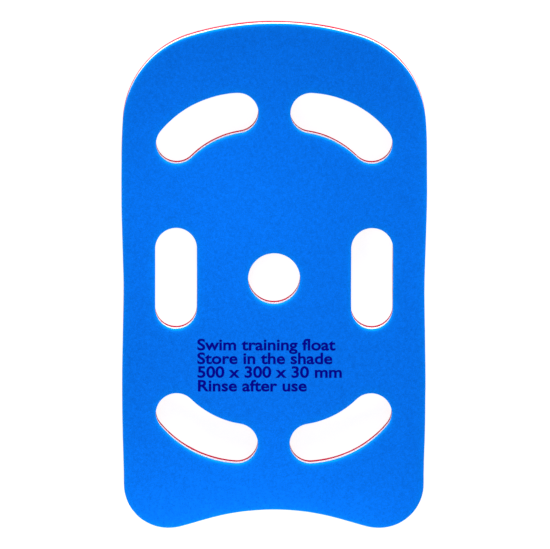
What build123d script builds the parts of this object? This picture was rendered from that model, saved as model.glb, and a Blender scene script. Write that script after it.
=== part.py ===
from build123d import *
import math
import os

# Kickboard float: three flat sheets of closed-cell foam, laminated face to face, with seven
# holes cut through all of them and a printed marking on the deck.
# Millimetres. X runs across the board, Y towards the rounded nose, Z up out of the deck.
# The origin is the centre of the underside.

BOARD_LENGTH = 500.0
BOARD_WIDTH = 300.0
SHEET_THICKNESS = 10.0

# Rounded edges: (which of a sheet's faces, from below, radius round the board, radius at the holes).
UNDERSIDE_RIM = (0, 0.8, 0.8)
DECK_RIM = (-1, 1.5, 1.2)

# Sheets from the underside up, with the rounded edges that each has.
SHEETS = {"bottom_foam_sheet": UNDERSIDE_RIM, "core_foam_sheet": None, "deck_foam_sheet": DECK_RIM}

# Nose: a shallow arc over the middle, then a tight shoulder, then a flank of a derived radius.
NOSE_RADIUS = 284.0
NOSE_TURN = 17.0
SHOULDER_RADIUS = 93.0
SHOULDER_TURN = 69.5

# Sides: a faint waist beside the hand slots, with fuller stretches before and behind it, (half width, Y).
SIDE_POINTS = [(149.7, 57.0), (147.9, -12.0), (148.7, -63.0), (148.6, -160.0)]

# Tail: a hollow arch between two rounded lobes.
ARCH_RISE = 18.2  # how far the middle of the tail lies in front of its lobes
ARCH_RADIUS = 236.0
ARCH_TURN = 15.9
LOBE_RADIUS = 46.6
LOBE_OUTER_TURN = 9.0
CORNER_HALF_WIDTH = 147.6

# Holes: all of them are symmetric about X = 0 and about Y = HOLES_Y.
HOLES_Y = -2.3
CENTRE_HOLE_RADIUS = 25.6
SIDE_SLOT_X = 96.3
SIDE_SLOT_WIDTH = 40.9
SIDE_SLOT_LENGTH = 101.3
GRIP_INNER_END = (36.1, 164.1)  # centre of the rounded end nearest the board's middle
GRIP_OUTER_END = (95.7, 133.9)  # centre of the rounded end nearest the board's side
GRIP_END_RADIUS = 20.4
GRIP_OUTSIDE_RADIUS = 105.0  # the long edge that faces the nose or the tail
GRIP_INSIDE_RADIUS = 88.0  # the long edge that faces the centre hole

# Marking: lines of flat print, ranged left, (baseline Y, length).
PRINT_LEFT = -75.4
PRINT_LINES = [(-72.6, 135.0), (-86.2, 132.0), (-99.8, 141.0), (-113.4, 106.0)]
PRINT_HEIGHT = 10.7
PRINT_THICKNESS = 0.05

DECK_Z = SHEET_THICKNESS * len(SHEETS)


def nose_arcs():
    """The right half of the nose, from its tip to where the side runs straight back."""
    nose = JernArc((0, BOARD_LENGTH / 2), (1, 0), NOSE_RADIUS, -NOSE_TURN)
    shoulder = JernArc(nose @ 1, nose % 1, SHOULDER_RADIUS, -SHOULDER_TURN)
    turned = NOSE_TURN + SHOULDER_TURN
    width_left = BOARD_WIDTH / 2 - (shoulder @ 1).X
    flank_radius = width_left / (1 - math.sin(math.radians(turned)))
    flank = JernArc(shoulder @ 1, shoulder % 1, flank_radius, turned - 90)
    return [nose, shoulder, flank]


def tail_arcs():
    """The right half of the tail, from the middle of its arch out to the side."""
    turn = math.radians(ARCH_TURN)
    drop = (ARCH_RADIUS + LOBE_RADIUS) * (1 - math.cos(turn))
    straight = (ARCH_RISE - drop) / math.sin(turn)
    arch = JernArc((0, ARCH_RISE - BOARD_LENGTH / 2), (1, 0), ARCH_RADIUS, -ARCH_TURN)
    slope = Line(arch @ 1, arch @ 1 + (arch % 1) * straight)
    lobe = JernArc(slope @ 1, slope % 1, LOBE_RADIUS, ARCH_TURN + LOBE_OUTER_TURN)
    width_left = CORNER_HALF_WIDTH - (lobe @ 1).X
    corner_radius = width_left / (1 - math.sin(math.radians(LOBE_OUTER_TURN)))
    corner = JernArc(lobe @ 1, lobe % 1, corner_radius, 90 - LOBE_OUTER_TURN)
    return [arch, slope, lobe, corner]


def outline():
    """The board's outline as a face."""
    nose = nose_arcs()
    tail = tail_arcs()
    straight_back = (0, -1)
    side = Spline(nose[-1] @ 1, *SIDE_POINTS, tail[-1] @ 1, tangents=[straight_back, straight_back])
    half = Curve() + [*nose, side, *tail]
    return make_face(half + mirror(half, about=Plane.YZ))


def side_slot():
    """The long slot beside the centre hole, on the right."""
    straight = SIDE_SLOT_LENGTH - SIDE_SLOT_WIDTH
    slot = SlotCenterToCenter(straight, SIDE_SLOT_WIDTH, rotation=90)
    return Pos(SIDE_SLOT_X, HOLES_Y) * slot


def grip_slot():
    """The curved hand slot at the right of the nose: two rounded ends and two long arcs."""
    inner = Vector(*GRIP_INNER_END)
    outer = Vector(*GRIP_OUTER_END)
    middle = (inner + outer) / 2
    half_chord = (outer - inner).length / 2
    along = (outer - inner).normalized()
    outward = along.rotate(Axis.Z, 90)

    def long_edge(radius, centre_gap):
        """One long edge: an arc tangent to both end circles, centred behind the slot."""
        depth = math.sqrt(centre_gap**2 - half_chord**2)
        centre = middle - outward * depth
        start = centre + (inner - centre).normalized() * radius
        end = centre + (outer - centre).normalized() * radius
        return ThreePointArc(start, centre + outward * radius, end)

    outside = long_edge(GRIP_OUTSIDE_RADIUS, GRIP_OUTSIDE_RADIUS - GRIP_END_RADIUS)
    inside = long_edge(GRIP_INSIDE_RADIUS, GRIP_INSIDE_RADIUS + GRIP_END_RADIUS)
    ends = [
        ThreePointArc(inside @ 0, inner - along * GRIP_END_RADIUS, outside @ 0),
        ThreePointArc(inside @ 1, outer + along * GRIP_END_RADIUS, outside @ 1),
    ]
    return Pos(0, HOLES_Y) * make_face(Curve() + [outside, inside, *ends])


def holes():
    """All seven holes as one sketch."""
    right = Sketch() + [side_slot(), grip_slot()]
    across = Plane.XZ.offset(-HOLES_Y)
    right += mirror(grip_slot(), about=across)
    centre = Pos(0, HOLES_Y) * Circle(CENTRE_HOLE_RADIUS)
    return right + mirror(right, about=Plane.YZ) + centre


def foam_sheet(plan, level, rim):
    """One foam sheet at its level in the stack, with the edges of its open face rounded."""
    sheet = Pos(0, 0, level * SHEET_THICKNESS) * extrude(plan, SHEET_THICKNESS)
    if rim is None:
        return sheet
    which, outside_radius, hole_radius = rim
    open_face = sheet.faces().sort_by(Axis.Z)[which]
    sheet = fillet(open_face.outer_wire().edges(), outside_radius)
    open_face = sheet.faces().sort_by(Axis.Z)[which]
    hole_edges = [edge for wire in open_face.inner_wires() for edge in wire.edges()]
    return fillet(hole_edges, hole_radius)


def printed_marking():
    """The print on the deck, one thin strip for each line."""
    strips = []
    for baseline, length in PRINT_LINES:
        strip = Box(length, PRINT_HEIGHT, PRINT_THICKNESS, align=Align.MIN)
        strips.append(Pos(PRINT_LEFT, baseline, DECK_Z) * strip)
    return Compound(children=strips)


def main():
    os.makedirs("parts", exist_ok=True)
    plan = outline() - holes()
    for level, (name, rim) in enumerate(SHEETS.items()):
        export_step(foam_sheet(plan, level, rim), f"parts/{name}.step")
    export_step(printed_marking(), "parts/printed_marking.step")


main()
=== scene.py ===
import math
from collections import defaultdict
from typing import NamedTuple

import bmesh
import bpy
import numpy as np
from mathutils import Matrix, Vector, kdtree
from mathutils.geometry import delaunay_2d_cdt


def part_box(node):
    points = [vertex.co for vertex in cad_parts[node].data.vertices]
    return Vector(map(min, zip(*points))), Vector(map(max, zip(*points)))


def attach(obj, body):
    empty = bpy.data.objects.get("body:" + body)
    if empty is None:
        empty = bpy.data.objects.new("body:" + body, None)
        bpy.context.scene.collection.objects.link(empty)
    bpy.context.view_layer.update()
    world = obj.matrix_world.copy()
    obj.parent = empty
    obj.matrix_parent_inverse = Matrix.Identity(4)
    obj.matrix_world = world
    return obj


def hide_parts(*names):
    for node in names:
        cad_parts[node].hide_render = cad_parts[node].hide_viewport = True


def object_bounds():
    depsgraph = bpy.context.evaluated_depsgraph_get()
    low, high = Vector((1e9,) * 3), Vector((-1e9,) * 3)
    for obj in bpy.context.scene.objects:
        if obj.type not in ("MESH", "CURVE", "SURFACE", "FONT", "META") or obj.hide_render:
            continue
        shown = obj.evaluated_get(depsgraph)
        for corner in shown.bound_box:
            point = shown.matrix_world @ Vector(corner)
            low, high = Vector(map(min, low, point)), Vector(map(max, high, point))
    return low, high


# A kickboard float of three laminated foam sheets, lying flat with its blue deck up.
# Metres, in the CAD frame: X across the board, Y towards the nose, Z up.

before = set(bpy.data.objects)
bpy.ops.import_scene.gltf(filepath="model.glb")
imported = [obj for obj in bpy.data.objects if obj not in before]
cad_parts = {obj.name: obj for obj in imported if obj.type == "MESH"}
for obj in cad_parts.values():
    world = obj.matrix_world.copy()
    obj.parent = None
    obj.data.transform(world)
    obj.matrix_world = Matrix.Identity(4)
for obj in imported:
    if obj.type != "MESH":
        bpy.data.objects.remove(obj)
cad_low, cad_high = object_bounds()

MM = 0.001
BODY = "root"

# Mesh fineness
EDGE_SPACING = 2.0 * MM  # between points along the outline and the holes
EDGE_SAMPLES = 4  # the curve through the CAD's corners is first worked out this many times as closely
FACE_SPACING = 3.2 * MM  # between points over the flat faces
FACE_MARGIN = 0.6 * FACE_SPACING  # between those points and the innermost ones along the edges
WALL_SPACING = 1.3 * MM  # between rows up a wall
SAME_PLACE = 0.001 * MM  # CAD corners closer than this are one
SAME_LEVEL = 0.01 * MM  # CAD corners this near the height of a face are on it

# Foam shape
DECK_RIM = (1.6 * MM, 7)  # radius of the rounding of the deck's edges, and its steps
UNDER_RIM = (0.8 * MM, 5)  # the same for the underside
BOND_RIM = (0.3 * MM, 3)  # the same where two sheets meet, which leaves a fine groove
CROWN_DROP = 0.45 * MM  # how far the face sinks towards a cut edge
CROWN_REACH = 3.0 * MM  # the distance over which it sinks
CROWN_ROWS = (1.3 * MM, 2.8 * MM, 4.8 * MM, 7.4 * MM)  # how far inside the rim its rows of points lie
CORE_RECESS = 0.12 * MM  # the softer core stands back a little after cutting

# Foam unevenness, each (height, wavelength)
FACE_BROAD = (0.10 * MM, 110 * MM)
FACE_CLOSE = (0.02 * MM, 24 * MM)
WALL_BROAD = (0.10 * MM, 45 * MM)
WALL_CLOSE = (0.04 * MM, 9 * MM)
WALL_REACH = 4.0 * MM  # how far from a cut edge the walls' unevenness fades out
UNDERSIDE_SHARE = 0.8  # how far the underside's crown and waves lift it, against the deck's
FADE_POWER = 4  # how sharply the faces' unevenness fades through a sheet's thickness

# Colours
BLUE = (0.002, 0.143, 0.74)
# Painted highlight colour: the blue deck is painted this much paler along its cut edges, standing in for the
# bright rims
RIM_HIGHLIGHT_BLUE = (0.0, 0.330, 1.0)
WHITE = (0.88, 0.87, 0.88)
RED = (0.55, 0.009, 0.042)
# Painted highlight colour: the red sheet is painted this much paler along its cut edges
RIM_HIGHLIGHT_RED = (0.60, 0.015, 0.055)
INK = (0.002, 0.0015, 0.225)
PAINTED_RIM_HIGHLIGHT = ((0.48, 1.2 * MM), (0.08, 5.0 * MM))  # how much paler the foam is painted at a cut edge, and over what reach: a painted highlight along the rims


def placed(name, data):
    """A new object in the scene, for a mesh, text, light or camera."""
    made = bpy.data.objects.new(name, data)
    bpy.context.scene.collection.objects.link(made)
    return made


# ---------------------------------------------------------------- smooth noise

RIPPLE_WAVES = 14
RIPPLE_SPREAD = (0.7, 1.5)  # the waves' lengths, as parts of the one asked for


def ripples(points, size, seed):
    """Smooth noise at each point, from waves in random directions; size is its (height, wavelength)."""
    height, wavelength = size
    random = np.random.default_rng(seed)
    directions = unit(random.normal(size=(RIPPLE_WAVES, points.shape[1])))
    turns = 2 * math.pi / (wavelength * random.uniform(*RIPPLE_SPREAD, RIPPLE_WAVES))
    phases = random.uniform(0, 2 * math.pi, RIPPLE_WAVES)
    waves = np.sin(points @ (directions * turns[:, None]).T + phases)
    return height * (waves.sum(1) / math.sqrt(2 * RIPPLE_WAVES))


def unit(vectors):
    """The vectors at a length of 1."""
    return vectors / np.linalg.norm(vectors, axis=1)[:, None]


# ---------------------------------------------------------------- the plan of the board

FLAT = 0.5  # a face whose normal's Z is above this lies flat, and the others are walls


def cut_edges(node):
    """The closed edges of a sheet's upper face, each an array of (x, y) corners in order."""
    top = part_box(node)[1].z
    mesh = bmesh.new()
    mesh.from_mesh(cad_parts[node].data)
    bmesh.ops.remove_doubles(mesh, verts=mesh.verts, dist=SAME_PLACE)
    mesh.normal_update()
    neighbours = defaultdict(list)
    for edge in mesh.edges:
        tilts = [abs(face.normal.z) for face in edge.link_faces]
        at_top = all(abs(vert.co.z - top) < SAME_LEVEL for vert in edge.verts)
        if at_top and min(tilts) < FLAT < max(tilts):
            first, second = edge.verts
            neighbours[first].append(second)
            neighbours[second].append(first)
    loops = []
    while neighbours:
        vert = next(iter(neighbours))
        loop = []
        while vert in neighbours:
            loop.append(vert.co.xy[:])
            vert = next((v for v in neighbours.pop(vert) if v in neighbours), None)
        loops.append(np.array(loop))
    mesh.free()
    return loops


def even_loop(corners):
    """Evenly spaced points on the smooth closed curve through the corners."""
    ahead = np.roll(corners, -1, 0)
    heading = unit(ahead - np.roll(corners, 1, 0))
    length = np.linalg.norm(ahead - corners, axis=1)
    fine = []
    for k, run in enumerate(length):
        count = max(2, round(EDGE_SAMPLES * run / EDGE_SPACING))
        t = np.linspace(0, 1, count, endpoint=False)[:, None]
        leave = heading[k] * run
        arrive = heading[(k + 1) % len(corners)] * run
        fine.append(
            (2 * t**3 - 3 * t**2 + 1) * corners[k] + (3 * t**2 - 2 * t**3) * ahead[k]
            + (t**3 - 2 * t**2 + t) * leave + (t**3 - t**2) * arrive
        )
    fine = np.vstack(fine + [corners[:1]])
    along = np.concatenate([[0], np.cumsum(np.linalg.norm(np.diff(fine, axis=0), axis=1))])
    at = np.linspace(0, along[-1], round(along[-1] / EDGE_SPACING), endpoint=False)
    return np.stack([np.interp(at, along, fine[:, k]) for k in (0, 1)], axis=1)


def area(loop):
    """The area that a closed loop goes round, positive when it runs anticlockwise."""
    x, y = loop.T
    return (x * np.roll(y, -1) - y * np.roll(x, -1)).sum() / 2


class Plan:
    """The cut edges of the board with the direction into the foam at each of their points."""

    def __init__(self, node):
        loops = sorted((even_loop(corners) for corners in cut_edges(node)), key=lambda p: -abs(area(p)))
        # The outline, which is the largest, runs anticlockwise and the holes clockwise, so that the
        # foam is always on the left.
        self.loops = [loop if (area(loop) > 0) == (k == 0) else loop[::-1] for k, loop in enumerate(loops)]
        self.inward = []
        for loop in self.loops:
            tangent = unit(np.roll(loop, -1, 0) - np.roll(loop, 1, 0))
            self.inward.append(np.stack([-tangent[:, 1], tangent[:, 0]], axis=1))
        self.points = np.vstack(self.loops)
        self.normals = np.vstack(self.inward)
        self.tree = kdtree.KDTree(len(self.points))
        for k, (x, y) in enumerate(self.points):
            self.tree.insert((x, y, 0), k)
        self.tree.balance()

    def nearest(self, places):
        """The number of the edge point that is nearest to each (x, y)."""
        return [self.tree.find((x, y, 0))[1] for x, y in places]

    def depth(self, places):
        """How deep in the foam each (x, y) lies from the nearest cut edge; negative is outside."""
        nearest = self.nearest(places)
        return ((places - self.points[nearest]) * self.normals[nearest]).sum(1)


# ---------------------------------------------------------------- a foam sheet

class Sheet(NamedTuple):
    """A foam sheet of the visual model, and the CAD node and material slot that it stands for."""

    name: str
    node: str
    slot: str
    face_colour: tuple
    # the paler colour painted along the cut edges, a painted highlight
    rim_highlight_colour: tuple
    open_face: str  # which of its faces isn't bonded to another sheet: top, bottom or none
    recess: float  # how far its walls stand back from the CAD's
    seed: int


def quarter_round(radius, steps):
    """(inset, distance below the face) down a rounded edge, from the face to the wall."""
    angles = [math.pi / 2 * k / steps for k in range(steps + 1)]
    return [(radius * (1 - math.sin(a)), radius * (1 - math.cos(a))) for a in angles]


def skin_rows(thickness, open_face):
    """(inset, height) rows of a sheet's skin, from its lower face up its cut edge to its upper face."""
    lower_rim = quarter_round(*(UNDER_RIM if open_face == "bottom" else BOND_RIM))
    upper_rim = quarter_round(*(DECK_RIM if open_face == "top" else BOND_RIM))
    upper_rim = [(inset, thickness - below) for inset, below in upper_rim]
    start, end = lower_rim[-1][1], upper_rim[-1][1]
    count = round((end - start) / WALL_SPACING)
    wall = [(0.0, start + (end - start) * k / count) for k in range(1, count)]
    rows = lower_rim + wall + upper_rim[::-1]
    crown = [DECK_RIM[0] + inset for inset in CROWN_ROWS]
    if open_face == "bottom":
        rows = [(inset, 0.0) for inset in crown[::-1]] + rows
    if open_face == "top":
        rows += [(inset, thickness) for inset in crown]
    return rows


def face_grid(plan):
    """Points in a staggered grid over the board, clear of its cut edges."""
    rows = np.arange(cad_low.y, cad_high.y, FACE_SPACING * math.sqrt(3) / 2)
    columns = np.arange(cad_low.x, cad_high.x, FACE_SPACING)
    grid = np.array([(x + (k % 2) * FACE_SPACING / 2, y) for k, y in enumerate(rows) for x in columns])
    clear = DECK_RIM[0] + CROWN_ROWS[-1] + FACE_MARGIN
    return grid[plan.depth(grid) > clear]


INSIDE_WITH_HOLES = 2  # what delaunay_2d_cdt keeps
SAME_POINT = 1e-9  # and how near each other it takes two points to be one


def cap_triangles(rings, inner):
    """Triangles over a face, between its innermost rings, through the inner points."""
    places = np.vstack([*rings, inner])
    ends = np.cumsum([len(ring) for ring in rings])
    outlines = [list(range(end - len(ring), end)) for ring, end in zip(rings, ends)]
    corners = [Vector(place) for place in places]
    verts, _, faces, *_ = delaunay_2d_cdt(corners, [], outlines, INSIDE_WITH_HOLES, SAME_POINT)
    assert len(verts) == len(places)
    return np.array(faces)


def band(plan, row):
    """The faces between one row of rings and the next."""
    faces = []
    start = row * len(plan.points)
    for loop in plan.loops:
        here = start + np.arange(len(loop))
        after = np.roll(here, -1)
        up = len(plan.points)
        faces += np.stack([here, after, after + up, here + up], axis=1).tolist()
        start += len(loop)
    return faces


def measure(mesh, name, values):
    """Stores a number at each point of the mesh, for its material."""
    layer = mesh.attributes.new(name, "FLOAT", "POINT")
    layer.data.foreach_set("value", values.astype(np.float32))


def foam_sheet(sheet, plan):
    """A closed foam sheet in the place of its CAD node: rings stacked up its walls, and two caps."""
    low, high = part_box(sheet.node)
    rows = skin_rows(high.z - low.z, sheet.open_face)
    rings = [[loop + inward * (inset + sheet.recess) for loop, inward in zip(plan.loops, plan.inward)]
             for inset, _ in rows]
    places = [np.column_stack([np.vstack(ring), np.full(len(plan.points), low.z + height)])
              for ring, (_, height) in zip(rings, rows)]
    insets = [np.full(len(plan.points), inset) for inset, _ in rows]
    faces = [face for row in range(len(rows) - 1) for face in band(plan, row)]

    count = len(rows) * len(plan.points)
    for side, row, level in (("bottom", 0, low.z), ("top", len(rows) - 1, high.z)):
        inner = face_grid(plan) if side == sheet.open_face else np.empty((0, 2))
        ring_points = row * len(plan.points) + np.arange(len(plan.points))
        index = np.concatenate([ring_points, count + np.arange(len(inner))])
        triangles = index[cap_triangles(rings[row], inner)]
        faces += (triangles[:, ::-1] if side == "bottom" else triangles).tolist()
        places.append(np.column_stack([inner, np.full(len(inner), level)]))
        insets.append(plan.depth(inner) if len(inner) else np.empty(0))
        count += len(inner)

    points = weather(np.vstack(places), plan, low.z, high.z, sheet)
    mesh = bpy.data.meshes.new(sheet.name)
    mesh.from_pydata(points.tolist(), [], faces)
    mesh.shade_smooth()
    inset = np.concatenate(insets)
    measure(mesh, "cut", np.clip(1 - inset / DECK_RIM[0], 0, 1))
    # Painted highlight: how much paler each point is painted, fading in from a cut edge
    measure(mesh, "pale", sum(amount * np.exp(-inset / reach) for amount, reach in PAINTED_RIM_HIGHLIGHT))
    return placed(sheet.name, mesh)


def face_height(places, plan, seed):
    """How far the deck stands above its nominal plane at each (x, y)."""
    depth = np.maximum(plan.depth(places), 0)
    crown = -CROWN_DROP * np.exp(-depth / CROWN_REACH)
    return crown + ripples(places, FACE_BROAD, seed) + ripples(places, FACE_CLOSE, seed + 1)


def weather(points, plan, bottom, top, sheet):
    """Moves a sheet's points as real foam lies: an open face that waves and walls that waver."""
    places = points[:, :2]
    outward = -plan.normals[plan.nearest(places)]
    up = (points[:, 2] - bottom) / (top - bottom)
    near_edge = np.clip(1 - plan.depth(places) / WALL_REACH, 0, 1)
    waver = ripples(points, WALL_BROAD, sheet.seed + 2) + ripples(points, WALL_CLOSE, sheet.seed + 3)
    moved = points.copy()
    moved[:, :2] += outward * (waver * near_edge)[:, None]
    if sheet.open_face == "top":
        moved[:, 2] += face_height(places, plan, sheet.seed) * up**FADE_POWER
    if sheet.open_face == "bottom":
        lift = np.abs(face_height(places, plan, sheet.seed)) * UNDERSIDE_SHARE
        moved[:, 2] += lift * (1 - up) ** FADE_POWER
    return moved


# ---------------------------------------------------------------- shader nodes

COLOUR_FACTOR, FIRST_COLOUR, SECOND_COLOUR, MIXED_COLOUR = 0, 6, 7, 2  # sockets of a node that mixes colours


def add(tree, kind, inputs=None, **settings):
    """Adds a node; an input given as a socket is linked, and any other value is set."""
    node = tree.nodes.new(kind)
    for key, value in settings.items():
        setattr(node, key, value)
    for key, value in (inputs or {}).items():
        socket = node.inputs[key]
        if isinstance(value, bpy.types.NodeSocket):
            tree.links.new(value, socket)
        else:
            socket.default_value = value
    return node


def noise(tree, place, size, detail=2, roughness=0.5):
    """Noise whose features are about size metres across."""
    inputs = {"Vector": place, "Scale": 1 / size, "Detail": detail, "Roughness": roughness}
    return add(tree, "ShaderNodeTexNoise", inputs).outputs["Fac"]


def math_node(tree, operation, first, second):
    """The sum, product or other result of two values."""
    return add(tree, "ShaderNodeMath", {0: first, 1: second}, operation=operation).outputs[0]


def scaled(tree, value, amount):
    """A value times an amount, which is a number or another value."""
    return math_node(tree, "MULTIPLY", value, amount)


def centred(tree, value, amount):
    """A noise value turned into a change of about plus or minus amount."""
    return scaled(tree, math_node(tree, "SUBTRACT", value, 0.5), 2 * amount)


def sum_of(tree, *values):
    """The sum of all the values."""
    total = values[0]
    for value in values[1:]:
        total = math_node(tree, "ADD", total, value)
    return total


def mixed(tree, factor, first, second):
    """The first colour, turning into the second as the factor goes from 0 to 1."""
    inputs = {COLOUR_FACTOR: factor, FIRST_COLOUR: (*first, 1), SECOND_COLOUR: (*second, 1)}
    return add(tree, "ShaderNodeMix", inputs, data_type="RGBA").outputs[MIXED_COLOUR]


def measured(tree, name):
    """A number that the mesh stores at each of its points."""
    return add(tree, "ShaderNodeAttribute", attribute_name=name).outputs["Fac"]


def matte(name):
    """A new material without gloss, its node tree and its shader."""
    made = bpy.data.materials.new(name)
    made.use_nodes = True
    shader = made.node_tree.nodes["Principled BSDF"]
    shader.inputs["Specular IOR Level"].default_value = 0.0
    return made, made.node_tree, shader


def shaded(tree, shader, colour, value):
    """Gives the shader a base colour made lighter and darker by a value near 1."""
    shade = add(tree, "ShaderNodeVectorMath", {0: colour, "Scale": value}, operation="SCALE")
    tree.links.new(shade.outputs[0], shader.inputs["Base Color"])


def embossed(tree, shader, height):
    """Gives the shader bumps of a height in metres."""
    bump = add(tree, "ShaderNodeBump", {"Height": height, "Strength": 1.0, "Distance": 1.0})
    tree.links.new(bump.outputs[0], shader.inputs["Normal"])


# ---------------------------------------------------------------- foam and ink

# Patterns in the foam: the size of their features
PATCH_SIZE = 45 * MM  # broad patches of a lighter or darker colour
CLOUD_SIZE = 7 * MM  # smaller ones
PEBBLE_SIZE = 2.4 * MM  # the moulded pebbling of the skin
PORE_SIZE = 1.1 * MM  # its finer grain
CELL_SIZE = 1.1 * MM  # the opened cells on a cut wall
STREAK_SIZE = 1.8 * MM  # the width of the knife's streaks up a cut wall
STREAK_SQUEEZE = (1, 1, 0.1)  # the streaks are ten times as long as they are wide

# How much each pattern lightens and darkens the colour; for the pebbles and pores this is partly painted
# shade in their hollows
PATCH_SHADE = 0.03
CLOUD_SHADE = 0.035
PEBBLE_SHADE = 0.22
PORE_SHADE = 0.40
STREAK_SHADE = 0.06
GRAIN_CUT_AWAY = 0.7  # how much of the skin's grain is missing from a cut wall

# How high each pattern stands
PEBBLE_HEIGHT = 0.20 * MM
PORE_HEIGHT = 0.12 * MM
CELL_HEIGHT = 0.14 * MM
STREAK_HEIGHT = 0.10 * MM

# Roughness
SKIN_ROUGHNESS = 0.78
CLOUD_ROUGHNESS = 0.06  # how much it changes over the skin
CUT_ROUGHNESS = 0.1  # how much rougher a cut wall is

# Ink: a thin film that the foam's grain breaks up
FILM_SIZE = 9 * MM  # its thicker and thinner places
FILM_SHADE = 0.12
FILM_GRAIN_SHADE = 0.2
FILM_GRAIN_HEIGHT = 0.08 * MM
FILM_ROUGHNESS = 0.6
FILM_GRAIN_ROUGHNESS = 0.1


def pores_on(tree, place):
    """The fine grain of the foam's skin, which the ink follows too."""
    return noise(tree, place, PORE_SIZE, detail=3, roughness=0.6)


def foam(name, face_colour, rim_highlight_colour):
    """Closed-cell foam: a pebbled skin on the faces, painted paler at the rims as a painted highlight, and
    opened cells on the cuts.
    """
    made, tree, shader = matte(name)
    place = add(tree, "ShaderNodeTexCoord").outputs["Object"]
    cut = measured(tree, "cut")
    # how much of the painted rim highlight each point gets
    pale = measured(tree, "pale")
    patches = noise(tree, place, PATCH_SIZE)
    clouds = noise(tree, place, CLOUD_SIZE, detail=3)
    pebble = noise(tree, place, PEBBLE_SIZE)
    pores = pores_on(tree, place)
    cells = add(tree, "ShaderNodeTexVoronoi", {"Vector": place, "Scale": 1 / CELL_SIZE}).outputs["Distance"]
    squeezed = add(tree, "ShaderNodeMapping", {"Vector": place, "Scale": STREAK_SQUEEZE}).outputs[0]
    streaks = noise(tree, squeezed, STREAK_SIZE)

    # The skin's grain: partly its own random mottling, partly painted shade, since the noise that raises the
    # pebbles and pores also paints their hollows darker
    grain_and_pit_shade = sum_of(tree, centred(tree, pebble, PEBBLE_SHADE), centred(tree, pores, PORE_SHADE))
    on_skin = sum_of(tree, scaled(tree, cut, -GRAIN_CUT_AWAY), 1.0)
    value = sum_of(
        tree,
        centred(tree, patches, PATCH_SHADE),
        centred(tree, clouds, CLOUD_SHADE),
        scaled(tree, on_skin, grain_and_pit_shade),
        scaled(tree, cut, centred(tree, streaks, STREAK_SHADE)),
        1.0,
    )
    # Near a cut edge the colour turns to the paler rim colour: a painted highlight
    shaded(tree, shader, mixed(tree, pale, face_colour, rim_highlight_colour), value)

    skin = sum_of(tree, scaled(tree, pebble, PEBBLE_HEIGHT), scaled(tree, pores, PORE_HEIGHT))
    opened = sum_of(tree, scaled(tree, cells, CELL_HEIGHT), scaled(tree, streaks, STREAK_HEIGHT))
    embossed(tree, shader, sum_of(tree, skin, scaled(tree, opened, cut)))
    uneven = centred(tree, clouds, CLOUD_ROUGHNESS)
    rough = sum_of(tree, uneven, scaled(tree, cut, CUT_ROUGHNESS), SKIN_ROUGHNESS)
    tree.links.new(rough, shader.inputs["Roughness"])
    return made


def ink(name, colour):
    """Print on foam: a thin film, a little uneven, that the foam's grain breaks up."""
    made, tree, shader = matte(name)
    place = add(tree, "ShaderNodeTexCoord").outputs["Object"]
    film = noise(tree, place, FILM_SIZE)
    pores = pores_on(tree, place)
    value = sum_of(tree, centred(tree, film, FILM_SHADE), centred(tree, pores, FILM_GRAIN_SHADE), 1.0)
    shaded(tree, shader, colour, value)
    embossed(tree, shader, scaled(tree, pores, FILM_GRAIN_HEIGHT))
    rough = sum_of(tree, centred(tree, pores, FILM_GRAIN_ROUGHNESS), FILM_ROUGHNESS)
    tree.links.new(rough, shader.inputs["Roughness"])
    return made


# ---------------------------------------------------------------- the printed marking

MARKING = ("Swim training float", "Store in the shade", "500 x 300 x 30 mm", "Rinse after use")
LINE_PITCH = 13.6 * MM
CAP_HEIGHT = 10.7 * MM
INK_THICKNESS = 0.03 * MM
INK_BOLDNESS = 0.38 * MM  # how far the strokes swell past the font's thin ones
INK_STRETCH = 1.15  # the letters are wider than the font's
INK_LIFT = 0.02 * MM  # keeps the film just clear of the deck
LETTER_STEPS = 5  # in each of the letters' curves; with these the swollen strokes don't cross themselves
WELD_DISTANCE = 0.0005 * MM


def printed_marking(name, plan, node, seed):
    """The lines of print, laid where the CAD strips are on the deck whose seed is given."""
    text = bpy.data.curves.new(name, "FONT")
    writing = placed(name + "_text", text)
    text.body = "H"  # a capital, to find the size at which capitals have the right height
    text.size = 1.0
    bpy.context.view_layer.update()
    text.size = CAP_HEIGHT / writing.dimensions.y
    text.space_line = LINE_PITCH / text.size
    text.offset = INK_BOLDNESS
    text.extrude = INK_THICKNESS / 2
    text.resolution_u = LETTER_STEPS
    text.body = "\n".join(MARKING)
    bpy.context.view_layer.update()
    mesh = bpy.data.meshes.new_from_object(writing)
    mesh.name = name
    mesh.materials.clear()
    bpy.data.objects.remove(writing)
    weld(mesh)

    low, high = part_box(node)
    points = np.array([vert.co for vert in mesh.vertices])
    points[:, 0] *= INK_STRETCH
    points[:, 0] += low.x - points[:, 0].min()
    points[:, 1] += high.y - CAP_HEIGHT
    points[:, 2] += low.z + INK_THICKNESS / 2 + INK_LIFT + face_height(points[:, :2], plan, seed)
    mesh.vertices.foreach_set("co", points.astype(np.float32).ravel())
    mesh.update()
    return placed(name, mesh)


def weld(mesh):
    """Joins the fronts, sides and backs of the letters into closed solids."""
    work = bmesh.new()
    work.from_mesh(mesh)
    bmesh.ops.remove_doubles(work, verts=work.verts, dist=WELD_DISTANCE)
    work.to_mesh(mesh)
    work.free()


# ---------------------------------------------------------------- the board

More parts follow.
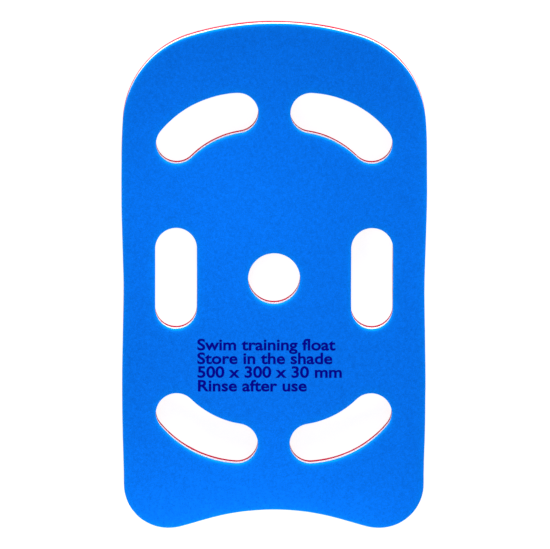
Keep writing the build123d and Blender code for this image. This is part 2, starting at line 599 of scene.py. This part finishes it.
DECK = Sheet(
    name="deck_sheet", node="deck_foam_sheet", slot="blue_foam",
    face_colour=BLUE, rim_highlight_colour=RIM_HIGHLIGHT_BLUE, open_face="top", recess=0.0, seed=11,
)
CORE = Sheet(
    name="core_sheet", node="core_foam_sheet", slot="white_foam",
    face_colour=WHITE, rim_highlight_colour=WHITE, open_face="none", recess=CORE_RECESS, seed=31,
)
BOTTOM = Sheet(
    name="bottom_sheet", node="bottom_foam_sheet", slot="red_foam",
    face_colour=RED, rim_highlight_colour=RIM_HIGHLIGHT_RED, open_face="bottom", recess=0.0, seed=51,
)


def place_piece(piece, node, look):
    """Gives a piece its material and the body that it rides, and hides the CAD node that it stands for."""
    piece.data.materials.append(look)
    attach(piece, BODY)
    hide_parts(node)


def board():
    """The three foam sheets and the marking. The core's edges have no rounding, so they give the plan."""
    plan = Plan(CORE.node)
    for sheet in (DECK, CORE, BOTTOM):
        piece = foam_sheet(sheet, plan)
        look = foam(sheet.slot + "_look", sheet.face_colour, sheet.rim_highlight_colour)
        place_piece(piece, sheet.node, look)
    marking = printed_marking("marking", plan, "printed_marking", DECK.seed)
    place_piece(marking, "printed_marking", ink("marking_ink_look", INK))


# ---------------------------------------------------------------- stage, lights and camera

FLOOR_RADIUS = 60.0
FLOOR_CORNERS = 96
FLOOR_DROP = 0.02 * MM  # how far the floor lies under the board
FLOOR_COLOUR = (0.2, 0.2, 0.2, 1)
FLOOR_ROUGHNESS = 0.9
FLOOR_GLOW = 0.91
WHITE_LIGHT = (1, 1, 1, 1)
SKY_STRENGTH = 0.30
LAMP_SIZE = 0.1


def stage_floor():
    """A wide pale floor just under the board, bright enough to read as a white sweep."""
    bpy.ops.mesh.primitive_circle_add(vertices=FLOOR_CORNERS, radius=FLOOR_RADIUS, fill_type="NGON",
                                      location=(0, 0, -FLOOR_DROP))
    floor = bpy.context.object
    floor.name = "floor"
    made, _, shader = matte("pale_floor")
    shader.inputs["Base Color"].default_value = FLOOR_COLOUR
    shader.inputs["Roughness"].default_value = FLOOR_ROUGHNESS
    shader.inputs["Emission Color"].default_value = WHITE_LIGHT
    shader.inputs["Emission Strength"].default_value = FLOOR_GLOW
    floor.data.materials.append(made)


def sky():
    """An even glow from all round."""
    world = bpy.data.worlds.new("studio")
    world.use_nodes = True
    background = world.node_tree.nodes["Background"]
    background.inputs["Color"].default_value = WHITE_LIGHT
    background.inputs["Strength"].default_value = SKY_STRENGTH
    bpy.context.scene.world = world


def sun(name, azimuth, elevation, strength, spread):
    """A soft light from far away, in degrees: azimuth 0 comes from +Y and turns towards +X."""
    data = bpy.data.lights.new(name, "SUN")
    data.energy = strength
    data.angle = math.radians(spread)
    a, e = math.radians(azimuth), math.radians(elevation)
    towards = Vector((math.sin(a) * math.cos(e), math.cos(a) * math.cos(e), math.sin(e)))
    placed(name, data).rotation_euler = towards.to_track_quat("Z", "Y").to_euler()


def lamp(name, x, y, height, brightness):
    """A soft lamp that faces down over (x, y), and how bright it makes a white deck right under it."""
    data = bpy.data.lights.new(name, "AREA")
    data.shape = "DISK"
    data.size = LAMP_SIZE
    data.energy = brightness * (math.pi * height) ** 2
    light = placed(name, data)
    light.location = (x, y, cad_high.z + height)
    light.visible_camera = False


def lights():
    """A main light from above the nose, low suns on the walls, and lamps for the brighter places."""
    sun("key_sun", azimuth=0, elevation=35, strength=1.55, spread=30)
    sun("nose_sun", azimuth=0, elevation=8, strength=2.6, spread=8)
    sun("right_sun", azimuth=90, elevation=8, strength=0.5, spread=12)
    sun("tail_sun", azimuth=180, elevation=8, strength=0.9, spread=12)
    sun("left_sun", azimuth=270, elevation=8, strength=0.5, spread=12)
    lamp("deck_lamp", x=-0.06, y=0.075, height=0.22, brightness=0.40)
    lamp("tail_lamp", x=-0.04, y=-0.48, height=0.20, brightness=4.0)
    lamp("side_lamp", x=0.34, y=0.07, height=0.18, brightness=0.8)


CAMERA_TILT = 8.3  # degrees that the camera leans from straight above towards the nose
CAMERA_SIDE = -0.5  # degrees that it leans towards +X
CAMERA_ROLL = 0.11  # degrees that it turns to the left, which turns the board to the right
CAMERA_DISTANCE = 15.0
CAMERA_REACH = 200  # the farthest that it sees
SENSOR_WIDTH = 36.0  # millimetres, as is the lens
PICTURE_WIDTH = 550  # pixels
PIXELS_PER_METRE = 1016.8  # at the board
AIM = (0.001, 0.0003, 0.015)


def camera():
    """The camera, far away over the board with a long lens."""
    data = bpy.data.cameras.new("camera")
    data.sensor_width = SENSOR_WIDTH
    data.lens = PIXELS_PER_METRE * SENSOR_WIDTH / PICTURE_WIDTH * CAMERA_DISTANCE
    data.clip_end = CAMERA_REACH
    tilt, side = math.radians(CAMERA_TILT), math.radians(CAMERA_SIDE)
    back = Vector((math.sin(side), math.sin(tilt) * math.cos(side), math.cos(tilt) * math.cos(side)))
    nose_up = Vector((0, 1, 0))
    right = nose_up.cross(back).normalized()
    upward = back.cross(right)
    roll = Matrix.Rotation(math.radians(CAMERA_ROLL), 4, "Z")
    turn = Matrix((right, upward, back)).transposed().to_4x4() @ roll
    eye = placed("camera", data)
    eye.matrix_world = Matrix.Translation(Vector(AIM) + back * CAMERA_DISTANCE) @ turn
    bpy.context.scene.camera = eye


board()
stage_floor()
sky()
lights()
camera()
bpy.context.scene.view_settings.view_transform = "Standard"
